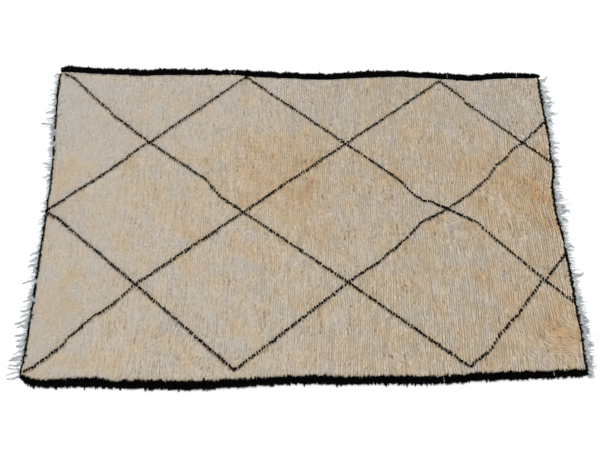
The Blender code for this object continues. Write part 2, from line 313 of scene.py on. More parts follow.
def edge(name, at):
    """Where an edge of the pile lies: across for the long sides, along for the ends."""
    return np.interp(at, EDGES[name][:, 0], EDGES[name][:, 1])


def on_rug(lengthwise, crosswise):
    """Shares of the pile's length and width as places, so that rows follow both ends."""
    along = -HALF_LENGTH + 2 * HALF_LENGTH * lengthwise
    across = edge("near", along) * (1 - crosswise) + edge("far", along) * crosswise
    along = edge("left", across) * (1 - lengthwise) + edge("right", across) * lengthwise
    return along, across


def drift(along, across, size, seed):
    """A smooth random value, mostly within -1 to 1, that changes over about size metres: the sum
    of waves that run every way."""
    draw = np.random.default_rng(seed)
    value = np.zeros_like(along)
    for _ in range(14):
        way = draw.uniform(0, math.tau)
        pitch = size * draw.uniform(0.7, 2.2)
        run = along * math.cos(way) + across * math.sin(way)
        value += np.sin(run * math.tau / pitch + draw.uniform(0, math.tau))
    return value / 3.2


def blend_of(table, along, across):
    """The sum of a table's round patches at each place."""
    total = np.zeros_like(along)
    for x, y, reach, value in table:
        far_off = ((along - x) ** 2 + (across - y) ** 2) / reach**2
        total += value * np.exp(-far_off)
    return total


# -------- finishes


def linear(code):
    """An sRGB hex colour as linear RGBA."""
    parts = [int(code[i : i + 2], 16) / 255 for i in (1, 3, 5)]
    return (*(c / 12.92 if c <= 0.04045 else ((c + 0.055) / 1.055) ** 2.4 for c in parts), 1)


def add_node(tree, kind, inputs=None, stops=(), **settings):
    """A node with its settings, its inputs given as values or as sockets to link, and a colour
    ramp's stops as pairs of a place and a hex colour."""
    node = tree.nodes.new(kind)
    for name, value in settings.items():
        setattr(node, name, value)
    for name, value in (inputs or {}).items():
        if isinstance(value, bpy.types.NodeSocket):
            tree.links.new(value, node.inputs[name])
        else:
            node.inputs[name].default_value = value
    if stops:
        colours = node.color_ramp.elements
        while len(colours) < len(stops):
            colours.new(0.5)
        for element, (place, code) in zip(colours, stops):
            element.position = place
            element.color = linear(code)
    return node


def new_finish(name, steady):
    """A material, its nodes and its shader's sockets, some set to one value all over."""
    material = bpy.data.materials.new(name)
    material.use_nodes = True
    tree = material.node_tree
    shader = tree.nodes["Principled BSDF"].inputs
    for socket, value in steady.items():
        shader[socket].default_value = value
    return material, tree, shader


def wave_scale(pitch):
    """The scale at which a wave texture's bands lie pitch metres apart."""
    return math.tau / (20 * pitch)


def ivory_wool():
    """Hand-spun undyed wool pile, matt with a little sheen of loose fibres. Each knot keeps the
    tone and brightness of its spinning, from grey cream to straw; where the pile opens between
    two rows, its knots are painted warmer and darker, a painted shade. The yarn is painted darker
    and more golden towards its root: painted shade deep in the pile, where light doesn't reach."""
    material, tree, shader = new_finish(
        "hand-spun ivory wool pile",
        {
            "Roughness": 0.95,
            "Sheen Weight": 0.15,
            "Sheen Roughness": 0.6,
            "Specular IOR Level": 0.2,
        },
    )
    place = add_node(tree, "ShaderNodeTexCoord").outputs["Object"]
    height = add_node(tree, "ShaderNodeSeparateXYZ", {"Vector": place}).outputs["Z"]
    # painted shade: how far the yarn has risen out of the dark at its root, by height alone
    depth = add_node(
        tree,
        "ShaderNodeMapRange",
        {"Value": height, "From Min": GROUND_TOP, "From Max": LIT, "To Min": 0.0, "To Max": 1.0},
        interpolation_type="SMOOTHSTEP",
    ).outputs["Result"]
    tone = add_node(tree, "ShaderNodeAttribute", attribute_name="tone").outputs["Fac"]
    # single fibres are too fine to show, so the grain is as coarse as the yarn's twist, 4 mm
    fibre = add_node(
        tree,
        "ShaderNodeTexNoise",
        {"Vector": place, "Scale": 1 / 0.004, "Detail": 2.0, "Roughness": 0.6},
    ).outputs["Fac"]
    grain = 0.06
    middle = add_node(tree, "ShaderNodeMath", {0: tone, 1: grain / 2}, operation="SUBTRACT")
    mixed = add_node(
        tree, "ShaderNodeMath", {0: fibre, 1: grain, 2: middle.outputs["Value"]},
        operation="MULTIPLY_ADD",
    ).outputs["Value"]
    tips = add_node(
        tree, "ShaderNodeValToRGB", {"Fac": mixed},
        (
            (0.0, "#C9C3BC"), (0.3, "#CCC1B3"), (0.52, "#D0BFA7"), (0.75, "#CEB592"),
            (1.0, "#BF966B"),
        ),
    )
    # painted shade: the yarn's colours near the ground, darker and more golden, for the light that
    # doesn't reach down into the pile
    painted_root_shade = add_node(
        tree, "ShaderNodeValToRGB", {"Fac": mixed},
        ((0.0, "#988874"), (0.5, "#896A47"), (1.0, "#785030")),
    )
    colour = add_node(
        tree,
        "ShaderNodeMix",
        {"Factor": depth, "A": painted_root_shade.outputs["Color"], "B": tips.outputs["Color"]},
        data_type="RGBA",
    )
    # each knot's brightness: its own, and painted shade where the pile opens between two rows
    shade = add_node(tree, "ShaderNodeAttribute", attribute_name="shade")
    shaded = add_node(
        tree, "ShaderNodeVectorMath", {0: colour.outputs["Result"], "Scale": shade.outputs["Fac"]},
        operation="SCALE",
    )
    tree.links.new(shaded.outputs["Vector"], shader["Base Color"])
    return material


def black_wool():
    """Black wool, matt and not quite even: some yarns are a little brown."""
    material, tree, shader = new_finish(
        "shaggy black wool", {"Roughness": 1.0, "Specular IOR Level": 0.05}
    )
    tone = add_node(tree, "ShaderNodeAttribute", attribute_name="tone").outputs["Fac"]
    colour = add_node(
        tree, "ShaderNodeValToRGB", {"Fac": tone},
        ((0.0, "#030303"), (0.7, "#060606"), (1.0, "#0B0908")),
    )
    tree.links.new(colour.outputs["Color"], shader["Base Color"])
    return material


def ground_weave():
    """The wool ground that the knots sit in, matt and ribbed: warps along the rug, 4 mm apart,
    crossed by wefts, 6.5 mm apart."""
    material, tree, shader = new_finish("wool ground weave", {"Roughness": 0.95})
    place = add_node(tree, "ShaderNodeTexCoord").outputs["Object"]
    warps, wefts = (
        add_node(
            tree,
            "ShaderNodeTexWave",
            {"Vector": place, "Scale": wave_scale(pitch), "Distortion": uneven},
            bands_direction=way,
        ).outputs["Fac"]
        for way, pitch, uneven in (("Y", 0.004, 0.6), ("X", 0.0065, 0.8))
    )
    weave = add_node(tree, "ShaderNodeMath", {0: warps, 1: wefts}, operation="MULTIPLY")
    weave = weave.outputs["Value"]
    colour = add_node(
        tree, "ShaderNodeValToRGB", {"Fac": weave}, ((0.0, "#B8A98F"), (1.0, "#CCC0A8"))
    )
    bump = add_node(
        tree, "ShaderNodeBump", {"Height": weave, "Strength": 0.6, "Distance": 0.0012}
    )
    tree.links.new(colour.outputs["Color"], shader["Base Color"])
    tree.links.new(bump.outputs["Normal"], shader["Normal"])
    return material


def warp_yarn():
    """Bleached grey-white warp yarn: matt, in patches 30 mm long that are more or less dirty. Its
    grey is darker than the yarn's own: painted shade over the whole band and fringe.
    """
    material, tree, shader = new_finish(
        "grey-white warp yarn", {"Roughness": 0.9, "Sheen Weight": 0.1}
    )
    place = add_node(tree, "ShaderNodeTexCoord").outputs["Object"]
    patches = add_node(
        tree, "ShaderNodeTexNoise", {"Vector": place, "Scale": 1 / 0.03, "Detail": 3.0}
    ).outputs["Fac"]
    # the patches are dirt; the whole ramp is painted darker grey as painted shade
    colour = add_node(
        tree, "ShaderNodeValToRGB", {"Fac": patches},
        ((0.3, "#8E959A"), (0.5, "#AAB0B4"), (0.7, "#C6C9CB")),
    )
    tree.links.new(colour.outputs["Color"], shader["Base Color"])
    return material


# -------- pieces


def put(name, data):
    """An object in the scene."""
    item = bpy.data.objects.new(name, data)
    bpy.context.scene.collection.objects.link(item)
    return item


def show(name, mesh, material):
    """A finished piece at the origin, riding on the rug."""
    mesh.materials.clear()
    mesh.materials.append(material)
    piece = put(name, mesh)
    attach(piece, "root")
    return piece


def as_mesh(name, shape):
    """A finished mesh from a bmesh."""
    mesh = bpy.data.meshes.new(name)
    shape.to_mesh(mesh)
    shape.free()
    return mesh


def worked_out(item):
    """The mesh that an object's curve or nodes come to, in the object's place."""
    graph = bpy.context.evaluated_depsgraph_get()
    mesh = bpy.data.meshes.new_from_object(item.evaluated_get(graph))
    bpy.data.objects.remove(item)
    return mesh


# -------- tufts


def yarn_end(tuft, root, shoulder, tip, style, width):
    """One cut yarn end: three-sided, up from its knot to a shoulder, then over to its tip. A blunt
    one starts as a point in its knot and ends in a cut face, a pointed one the other way round."""
    root, shoulder, tip = Vector(root), Vector(shoulder), Vector(tip)
    ring = bmesh.ops.create_circle(tuft, cap_ends=True, segments=3, radius=0.5)["verts"]
    bmesh.ops.rotate(tuft, verts=ring, cent=(0, 0, 0), matrix=Matrix.Rotation(math.pi, 3, "Z"))
    bmesh.ops.scale(tuft, verts=ring, vec=(width, style.thick, 1))
    bmesh.ops.translate(tuft, verts=ring, vec=root)
    cap = next(face for face in ring[0].link_faces if set(face.verts) == set(ring))
    lean = (tip - shoulder).to_track_quat("Z", "Y")
    for place, turn in ((shoulder, 0.75), (tip, 0.25)):
        inside = cap
        grown = bmesh.ops.extrude_face_region(tuft, geom=[cap])["geom"]
        verts = [v for v in grown if isinstance(v, bmesh.types.BMVert)]
        cap = next(f for f in grown if isinstance(f, bmesh.types.BMFace))
        centre = sum((v.co for v in verts), Vector()) / 3
        bmesh.ops.translate(tuft, verts=verts, vec=place - centre)
        part = Matrix.Identity(3).to_quaternion().slerp(lean, turn).to_matrix()
        bmesh.ops.rotate(tuft, verts=verts, cent=place, matrix=part)
    # the ring at the shoulder needs no face across it
    tuft.faces.remove(inside)
    if style.blunt:
        for v in verts:
            v.co = tip + (v.co - tip) * style.blunt
        bmesh.ops.pointmerge(tuft, verts=ring, merge_co=root)
    else:
        bmesh.ops.pointmerge(tuft, verts=verts, merge_co=tip)


# How a tuft is made: its yarn ends, their sizes, their splay in degrees, the space between them,
# how unlike they are, the share of a blunt one's thickness that is left at its cut, and how many
# unlike tufts of the style there are.
TuftStyle = namedtuple(
    "TuftStyle", "ends length height width thick splay spread uneven blunt shapes"
)
PILE_TUFT = TuftStyle(2, 0.0280, 0.0070, 0.0094, 0.0044, 3, 0.0058, 0.05, 0.72, 8)
LINE_TUFT = TuftStyle(4, 0.0180, 0.0094, 0.0054, 0.0050, 16, 0.0028, 0.15, 0.60, 6)
SHAG_TUFT = TuftStyle(3, 0.0240, 0.0130, 0.0072, 0.0058, 7, 0.0030, 0.12, 0, 8)


def tuft_shapes(name, style, seed):
    """The unlike tufts of one style, leaning towards -Y, for planting."""
    draw = random.Random(seed)
    home = bpy.data.collections.new(name)
    for number in range(style.shapes):
        tuft = bmesh.new()
        for end in range(style.ends):
            side = (end - (style.ends - 1) / 2) * style.spread
            side += draw.uniform(-0.0006, 0.0006)
            turn = math.radians(draw.uniform(-style.splay, style.splay))
            length, height = (
                size * draw.uniform(1 - style.uneven, 1 + style.uneven)
                for size in (style.length, style.height)
            )
            way = Vector((math.sin(turn), -math.cos(turn), 0))
            root = Vector((side, 0.002, GROUND_TOP - 0.0015))
            # the shoulder lies a third of the way out, and the tip sinks a little below the top
            shoulder = root + way * length * 0.34 + Vector((0, 0, height * 0.62))
            tip = root + way * length + Vector((0, 0, height * draw.uniform(0.66, 0.84)))
            width = style.width * draw.uniform(0.85, 1.1)
            yarn_end(tuft, root, shoulder, tip, style, width)
        bmesh.ops.recalc_face_normals(tuft, faces=tuft.faces)
        mesh = as_mesh(f"{name}_{number}", tuft)
        mesh.shade_smooth()
        home.objects.link(bpy.data.objects.new(f"{name}_{number}", mesh))
    return home


def planting_group(shapes):
    """Geometry nodes that put one of a collection's tufts on every point, and make it mesh."""
    group = bpy.data.node_groups.new("planting", "GeometryNodeTree")
    group.interface.new_socket("Geometry", in_out="INPUT", socket_type="NodeSocketGeometry")
    group.interface.new_socket("Geometry", in_out="OUTPUT", socket_type="NodeSocketGeometry")
    start = add_node(group, "NodeGroupInput").outputs["Geometry"]

    stored = {
        name: add_node(
            group, "GeometryNodeInputNamedAttribute", {"Name": name}, data_type=kind
        ).outputs["Attribute"]
        for name, kind in (("turn", "FLOAT_VECTOR"), ("size", "FLOAT_VECTOR"), ("pick", "INT"))
    }
    tufts = add_node(
        group, "GeometryNodeCollectionInfo", {"Collection": shapes, "Separate Children": True}
    ).outputs["Instances"]
    turn = add_node(group, "FunctionNodeEulerToRotation", {"Euler": stored["turn"]})
    planted = add_node(
        group,
        "GeometryNodeInstanceOnPoints",
        {
            "Points": start,
            "Instance": tufts,
            "Pick Instance": True,
            "Instance Index": stored["pick"],
            "Rotation": turn.outputs["Rotation"],
            "Scale": stored["size"],
        },
    ).outputs["Instances"]
    solid = add_node(group, "GeometryNodeRealizeInstances", {"Geometry": planted})
    add_node(group, "NodeGroupOutput", {"Geometry": solid.outputs["Geometry"]})
    return group


def lay_bake_map(mesh):
    """A plain map from above, for the finish to be written on."""
    places = np.zeros(len(mesh.vertices) * 3, np.float32)
    mesh.vertices.foreach_get("co", places)
    places = places.reshape(-1, 3)[:, :2]
    places = (places - places.min(0)) / np.ptp(places, axis=0).max()
    corners = np.zeros(len(mesh.loops), np.int32)
    mesh.loops.foreach_get("vertex_index", corners)
    layer = mesh.uv_layers.new(name="OFBake")
    layer.uv.foreach_set("vector", places[corners].ravel().astype(np.float32))


def plant(name, knots, shapes, material):
    """A piece of pile: a tuft of wool on every knot."""
    mesh = bpy.data.meshes.new(name)
    mesh.vertices.add(len(knots["place"]))
    mesh.vertices.foreach_set("co", knots["place"].astype(np.float32).ravel())
    for key, kind, field in (
        ("turn", "FLOAT_VECTOR", "vector"),
        ("size", "FLOAT_VECTOR", "vector"),
        ("pick", "INT", "value"),
        ("tone", "FLOAT", "value"),
        ("shade", "FLOAT", "value"),
    ):
        if key in knots:
            layer = mesh.attributes.new(key, kind, "POINT")
            values = knots[key].astype(np.int32 if kind == "INT" else np.float32)
            layer.data.foreach_set(field, values.ravel())
    bed = put(name + "_knots", mesh)
    bed.modifiers.new("planting", "NODES").node_group = planting_group(shapes)
    pile = worked_out(bed)
    for key in ("turn", "size", "pick"):
        if key in pile.attributes:
            pile.attributes.remove(pile.attributes[key])
    places = np.zeros(len(pile.vertices) * 3, np.float32)
    pile.vertices.foreach_get("co", places)
    places[2::3] = places[2::3].clip(LOWEST)
    pile.vertices.foreach_set("co", places)
    lay_bake_map(pile)
    return show(name, pile, material)


def knots_at(along, across, lift, turn, tilt, size, tone, shapes, draw):
    """Knots ready for planting. turn is how far the lean is away from -Y, tilt its nod, both in
    degrees, size its scale as three shares, shapes how many unlike tufts there are."""
    count = len(along)
    return {
        "place": np.stack([along, across, lift + np.zeros(count)], 1),
        "turn": np.radians(np.stack([tilt, np.zeros(count), turn], 1)),
        "size": size,
        "pick": draw.integers(0, shapes, count),
        "tone": np.clip(tone, 0, 1),
    }


def some(knots, kept):
    """Only the knots that are kept."""
    return {key: values[kept] for key, values in knots.items()}


# -------- where the knots go


def line_places():
    """Every lattice line as places close together."""
    places = []
    for line in LATTICE:
        stops = np.array(line)
        run = np.concatenate([[0], np.cumsum(np.hypot(*np.diff(stops, axis=0).T))])
        at = np.arange(0, run[-1], LINE_STEP)
        places.append(np.stack([np.interp(at, run, stops[:, i]) for i in (0, 1)], 1))
    return places


def line_distance(along, across, places):
    """How far each knot is from the nearest lattice line."""
    nearest = np.zeros(len(along))
    spots = np.concatenate(places)
    batch = 2000
    for start in range(0, len(along), batch):
        part = slice(start, start + batch)
        off_x = along[part, None] - spots[None, :, 0]
        off_y = across[part, None] - spots[None, :, 1]
        nearest[part] = np.sqrt((off_x**2 + off_y**2).min(1))
    return nearest


def lean_turn(along, across, draw):
    """Which way the pile lies, in degrees away from -Y."""
    turn = 14 * drift(along, across, 0.34, 11) + 5 * drift(along, across, 0.10, 12)
    turn += blend_of(LAYS, along, across)
    return turn + draw.normal(0, 2.2, len(along))


def ivory_knots(places):
    """The ivory pile: rows across the rug, leaving out where black knots go. Also how far along
    the rug, as a share, the row of each knot is."""
    draw = np.random.default_rng(5)
    row, column = (grid.ravel() for grid in np.mgrid[0:ROWS, 0:ROW_KNOTS].astype(float))
    index = row.astype(int)
    lengthwise = (row + 0.5 + draw.normal(0, 0.05, ROWS)[index]) / ROWS
    crosswise = (column + 0.5 + draw.uniform(-0.5, 0.5, ROWS)[index]) / (ROW_KNOTS - 0.5)
    along, across = on_rug(lengthwise, np.clip(crosswise, 0.003, 1.0045))
    count = len(along)
    along += draw.normal(0, 0.0007, count)
    across += draw.normal(0, 0.0012, count)
    # yarn of one spinning lasts for a stretch of a row
    stretches = 7
    spun = draw.normal(0, 1, (ROWS, stretches + 1))
    at = column / ROW_KNOTS * stretches
    low = np.floor(at).astype(int)
    share = at - low
    yarn = spun[index, low] * (1 - share) + spun[index, low + 1] * share
    # the left end is worn smooth, the right end stands looser
    loose = np.clip(0.78 + 0.40 * along + 0.10 * drift(along, across, 0.5, 34), 0.15, 1)
    # warmth: the table's patches, small clouds, and streaks along the rows
    tone = 0.45 + 0.050 * along + blend_of(TONES, along, across)
    tone += 0.07 * drift(along, across, 0.22, 21) + 0.07 * drift(along, across, 0.09, 23)
    tone += (0.04 * yarn + 0.04 * drift(along * 7, across, 0.30, 22)) * loose
    tone += draw.normal(0, 0.015, count)
    shade = 1.01 + draw.normal(0, 1, count) * (0.015 + 0.050 * loose)
    # each tuft's length, width and height
    size = 0.02 * drift(along, across, 0.12, 31) + draw.normal(0, 0.04, count)
    size = 1.02 + size * loose
    width = 1.20 + (0.04 * drift(along, across, 0.2, 32) - 0.60) * loose
    rise = 0.03 * drift(along, across, 0.15, 33) + draw.normal(0.13, 0.06, count)
    rise = 0.90 + rise * loose
    # between two rows the pile opens and closes again every few knots
    gaps = 40
    spot = (column / ROW_KNOTS * (gaps - 0.01)).astype(int)
    gap, high = (draw.uniform(-1, 1, (ROWS, gaps))[index, spot] for _ in range(2))
    width *= 1 - (0.26 * gap + draw.normal(0, 0.11, count) * loose) * loose
    # where the pile opens, its knots are painted warmer and darker: painted shade between the
    # rows, with the yarn's own brightness mixed in
    tone += (0.10 * gap.clip(0) - 0.025) * loose
    shade -= (0.12 * gap.clip(0) - 0.03 - 0.03 * yarn) * loose
    rise += 0.13 * high * loose
    turn = lean_turn(along, across, draw)
    tilt = draw.normal(0, 2, count) * loose
    size = np.stack([width, size, rise], 1)
    knots = knots_at(along, across, 0.0, turn, tilt, size, tone, PILE_TUFT.shapes, draw)
    knots["shade"] = shade
    # clear of the black knots on every side
    kept = line_distance(along, across - LEAN, places) > LINE_CLEAR
    kept &= along - edge("left", across) > EDGE_CLEAR["left"]
    kept &= edge("right", across) - along > EDGE_CLEAR["right"]
    kept &= across - edge("near", along) > EDGE_CLEAR["near"]
    kept &= edge("far", along) - across > EDGE_CLEAR["far"]
    return some(knots, kept), row[kept] / ROWS


def lattice_knots(places):
    """The black lattice: two knots a row where a line crosses it, closer or wider apart with the
    line's slope."""
    draw = np.random.default_rng(6)
    spots = []
    for line in places:
        way = np.gradient(line, axis=0)
        slope = np.abs(way[:, 1]) / np.maximum(np.abs(way[:, 0]), 1e-4)
        left, right = edge("left", line[:, 1]), edge("right", line[:, 1])
        rows = (line[:, 0] - left) / (right - left) * ROWS - 0.5
        for number in range(int(min(rows)), int(max(rows)) + 2):
            at = np.argmin(np.abs(rows - number))
            if abs(rows[at] - number) > 0.3:
                continue
            reach = 0.0030 + 0.0036 * min(slope[at], 1.6)
            for shift in (-0.5, 0.5):
                spots.append((*line[at], shift * reach))
    spots = np.array(spots)
    count = len(spots)
    along = spots[:, 0] + draw.normal(0, 0.0007, count)
    across = spots[:, 1] + spots[:, 2] + LEAN + draw.normal(0, 0.0014, count)
    turn = lean_turn(along, across, draw) * 0.7 + draw.normal(0, 10, count)
    size = draw.uniform(0.85, 1.05, (count, 3)) * (0.9, 0.9, 1.15)
    tilt = draw.normal(2, 5, count)
    tone = draw.uniform(0, 1, count)
    knots = knots_at(along, across, 0.0018, turn, tilt, size, tone, LINE_TUFT.shapes, draw)
    inside = np.minimum(along - edge("left", across), edge("right", across) - along) > 0.004
    return some(knots, inside)


def in_break(end, across):
    """Whether the warp hides the black row at this place of an end."""
    return any(low < across < high for low, high in end.breaks)


def end_knots(name, end):
    """The black row against the warp at one end, in two lines of knots."""
    draw = np.random.default_rng(7 + end.seed)
    low, high = stretch_of(name)
    spots = []
    for line in range(2):
        across = np.arange(low + 0.004, high - 0.004, END_STEP) + 0.004 * line
        across += draw.normal(0, 0.0016, len(across))
        along = edge(name, across) - end.outwards * line * end.row_step
        spots.append(np.stack([along + draw.normal(0, 0.0010, len(across)), across], 1))
    spots = np.concatenate(spots)
    kept = draw.uniform(0, 1, len(spots)) > 0.03
    along, across = spots[kept & [not in_break(end, at) for at in spots[:, 1]]].T
    count = len(across)
    turn = draw.normal(*end.row_turn, count)
    size = draw.uniform(0.7, 1.0, (count, 3)) * (end.row_width, 1, 1)
    tilt = draw.normal(2, 6, count)
    tone = draw.uniform(0, 1, count)
    across = across + 0.006
    return knots_at(along, across, 0.001, turn, tilt, size, tone, LINE_TUFT.shapes, draw)


def border_span(name, along):
    """A border's inner and outer foot at each place along it, rounded off at the near left and
    far right corners."""
    foot = np.array([v.co[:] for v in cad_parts[f"border_{name}"].data.vertices])
    # of its solid, only what is on the floor and on the outer side
    foot = foot[foot[:, 2] < 0.0005]
    foot = foot[np.abs(foot[:, 1] - edge(name, foot[:, 0])) > 0.009]
    foot = foot[np.argsort(foot[:, 0])]
    inner = edge(name, along)
    outer = np.interp(along, foot[:, 0], foot[:, 1])
    low, high = stretch_of(name)
    corner, rounding = (along - low if name == "near" else high - along).clip(0), 0.06
    outer = inner + (outer - inner) * np.clip(0.30 + 0.70 * np.sqrt(corner / rounding), 0, 1)
    if name == "near":
        return inner - 0.004, outer + 0.0060 + 0.0014 * drift(along, 0 * along, 0.05, 61)
    # the far border is thin at one stretch and tapers towards the right, with an uneven edge
    thin = 0.006 * np.exp(-(((along + 0.50) / 0.12) ** 2)) + 0.004 * (along - 0.8).clip(0, 0.4)
    rough = 0.0030 * drift(along, 0 * along, 0.07, 62) + 0.0016 * drift(along, 0 * along, 0.03, 63)
    return inner + 0.0112, outer + 0.0084 - thin + rough


def border_knots(name):
    """One shaggy border: five rows of long tufts that fan from the pile out to the floor."""
    near = name == "near"
    draw = np.random.default_rng(9 if near else 10)
    low, high = stretch_of(name)
    bins = np.arange(low + 0.004, high - 0.003, BORDER_STEP)
    inner, outer = border_span(name, bins)
    rows = []
    for number, share in enumerate((0.08, 0.20, 0.40, 0.57, 0.72)):
        along = bins + draw.normal(0, 0.0012, len(bins)) + BORDER_STEP / 2 * (number % 2)
        across = inner + (outer - inner) * share + draw.normal(0, 0.0012, len(bins))
        rows.append(np.stack([along, across, np.full(len(bins), number)], 1))
    along, across, number = np.concatenate(rows).T
    count = len(along)
    # the inner rows lean over the ivory, the outer ones down to the floor
    inner_row, outer_row = number == 0, number == 4
    turn = draw.normal(0, 7, count) + (0 if near else 180) + np.where(number < 2, 180, 0)
    inner_reach = 0.74 if near else 0.62
    reach = np.select([inner_row, number == 1, outer_row], [inner_reach, 0.40, 0.72], 0.66)
    corner = np.minimum(along - low, high - along)
    reach *= np.clip(0.55 + corner / 0.08, 0, 1)
    # a few tufts reach further, and the far border's inner edge is the most ragged
    spikes = draw.uniform(0.6, 1.3, count) + 0.5 * (draw.uniform(0, 1, count) > 0.93)
    if not near:
        spikes[inner_row] = draw.uniform(0.45, 1.50, inner_row.sum())
    width = draw.uniform(0.85, 1.1, count)
    rise = np.where(outer_row, 0.85, 1.02) * draw.uniform(0.85, 1.12, count)
    size = np.stack([width, reach * spikes, rise], 1)
    tilt = np.where(outer_row, 9 if near else 3, 2) + draw.normal(0, 5, count)
    lift = np.where(outer_row, -0.0050, -0.0015)
    tone = draw.uniform(0, 1, count)
    return knots_at(along, across, lift, turn, tilt, size, tone, SHAG_TUFT.shapes, draw)


# -------- ground, cores, bands


def ground_cloth():
    """The woven ground: one closed sheet over the pile's whole outline."""
    cloth = bmesh.new()
    near, right, far, left = (EDGES[name] for name in ("near", "right", "far", "left"))
    loop = np.concatenate([near, right[1:-1, ::-1], far[::-1], left[1:-1][::-1, ::-1]])
    verts = [cloth.verts.new((x, y, GROUND_BOTTOM)) for x, y in loop]
    face = cloth.faces.new(verts)
    grown = bmesh.ops.extrude_face_region(cloth, geom=[face])["geom"]
    top = [v for v in grown if isinstance(v, bmesh.types.BMVert)]
    bmesh.ops.translate(cloth, verts=top, vec=(0, 0, GROUND_TOP - GROUND_BOTTOM))
    # cut across, so that no face is long and thin
    parts = 24
    for number in range(1, parts):
        bmesh.ops.bisect_plane(
            cloth,
            geom=cloth.verts[:] + cloth.edges[:] + cloth.faces[:],
            plane_co=(-1.5 + 3.0 * number / parts, 0, 0),
            plane_no=(1, 0, 0),
        )
    bmesh.ops.recalc_face_normals(cloth, faces=cloth.faces)
    bmesh.ops.triangulate(cloth, faces=cloth.faces)
    return as_mesh("ground_cloth", cloth)


def end_cord(name, end):
    """The black yarn wrapped along an end, under its row of knots, broken where the warp shows."""
    low, high = stretch_of(name)
    places = np.arange(low + 0.002, high - 0.002, CORD_STEP)
    paths = []
    for off, height in end.cords:
        runs = [[]]
        for across in places:
            if not in_break(end, across):
                runs[-1].append((edge(name, across) - end.outwards * off, across, height))
            elif runs[-1]:
                runs.append([])
        paths += [np.array(run) for run in runs if len(run) > 1]
    return yarns(f"end_cord_{name}", paths, [np.full(len(path), CORD_RADIUS) for path in paths])


def border_core(name):
    """What a border's tufts stand in: its solid, pressed low and drawn in from both sides."""
    core = bmesh.new()
    core.from_mesh(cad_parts[f"border_{name}"].data)
    bmesh.ops.remove_doubles(core, verts=core.verts, dist=0.00005)
    inner, outer = border_span(name, np.array([v.co.x for v in core.verts]))
    centre = inner + (outer - inner) * 0.36
    narrower, lower = 0.55, 0.5
    for vert, middle in zip(core.verts, centre):
        vert.co.y = middle + (vert.co.y - middle) * narrower
        vert.co.z *= lower
    mesh = as_mesh(f"border_{name}_core", core)
    mesh.shade_smooth()
    return mesh


def yarns(name, paths, radii):
    """Yarns as tubes that follow their paths, thinner towards their ends, as one mesh."""
    curve = bpy.data.curves.new(name, "CURVE")
    curve.dimensions = "3D"
    curve.bevel_depth = 1.0
    curve.bevel_resolution = 0
    curve.use_fill_caps = True
    for path, radius in zip(paths, radii):
        spline = curve.splines.new("POLY")
        spline.points.add(len(path) - 1)
        path = np.c_[path, np.ones(len(path))]
        path[:, 2] = np.maximum(path[:, 2], radius)
        spline.points.foreach_set("co", path.ravel())
        spline.points.foreach_set("radius", radius)
    mesh = worked_out(put(name, curve))
    mesh.shade_smooth()
    return mesh


def strand_path(start, end, wave, hook, draw, points):
    """A loose yarn's way over the floor from start to end, with slow curls and a hooked tip."""
    share = np.linspace(0, 1, points)
    path = np.array(start)[None] * (1 - share[:, None]) + np.array(end)[None] * share[:, None]
    sideways = np.array([-(end[1] - start[1]), end[0] - start[0]])
    sideways /= max(np.hypot(*sideways), 1e-6)
    curl = np.sin(share * draw.uniform(3, 8) + draw.uniform(0, math.tau)) * wave
    curl += np.sin(share * draw.uniform(9, 14) + draw.uniform(0, math.tau)) * wave * 0.4
    curl = (curl - curl[0]) * np.minimum(share * 3, 1)
    curl += hook * np.maximum(share - 0.6, 0) ** 1.5 * 4
    path[:, :2] += sideways * curl[:, None]
    return path


def tassel_yarns(tassel, root, band, end, draw):
    """A tassel's yarns: a few thick ones that keep together along one slow curve, and thin hairs
    that stray from it."""
    style = end.style
    start = (root + end.outwards * (band - 0.008), tassel.across, 0.0026)
    tip = (root + end.outwards * tassel.reach, tassel.across + tassel.sweep, 0.0022)
    hook = draw.normal(0, 0.009)
    middle = strand_path(start, tip, draw.uniform(0.002, 0.0060), hook, draw, 10)
    stops = np.linspace(0, 1, len(middle))
    thick = max(4, int(tassel.width / style.pitch))
    for number in range(thick + style.hairs):
        hair = number >= thick
        keep = draw.uniform(0.35 if hair else style.keep, 1.0)
        share = np.linspace(0, keep, TASSEL_POINTS)
        path = np.stack([np.interp(share, stops, column) for column in middle.T], 1)
        # its own place at the root, then drawn together and slowly out of line
        base = draw.uniform(-0.5, 0.5) * tassel.width * style.spread
        path[:, 1] += base * (1 - style.drawn_in * share)
        path[:, 1] += draw.normal(0, 0.010 if hair else 0.002) * share**1.5
        wander = draw.uniform(0.0006, 0.0022 if hair else 0.0010)
        path[:, 1] += wander * np.sin(share * draw.uniform(8, 20) + draw.uniform(0, math.tau))
        path[:, 2] += draw.uniform(-0.0006, 0.0012)
        radius = draw.uniform(*(0.0005, 0.0010) if hair else style.radius)
        yield path, radius * np.linspace(1, 0.5, TASSEL_POINTS)


def slack_warps():
    """The left end's loops, the yarn fallen over its pile and the knot in a tassel's tip."""
    for across, reach, width in LOOPS:
        turn = np.linspace(-0.4, math.pi + 0.4, 10)
        along = edge("left", across) - 0.004 - reach * np.sin(turn).clip(-0.1)
        path = np.stack([along, across + width * np.cos(turn), np.full(10, 0.0022)], 1)
        yield path, np.full(10, 0.0012)
    yield np.array(OVERLAID), np.full(len(OVERLAID), 0.0018)
    yield np.array(TIED_TIP), np.array([0.0022, 0.0042, 0.0044, 0.0030])


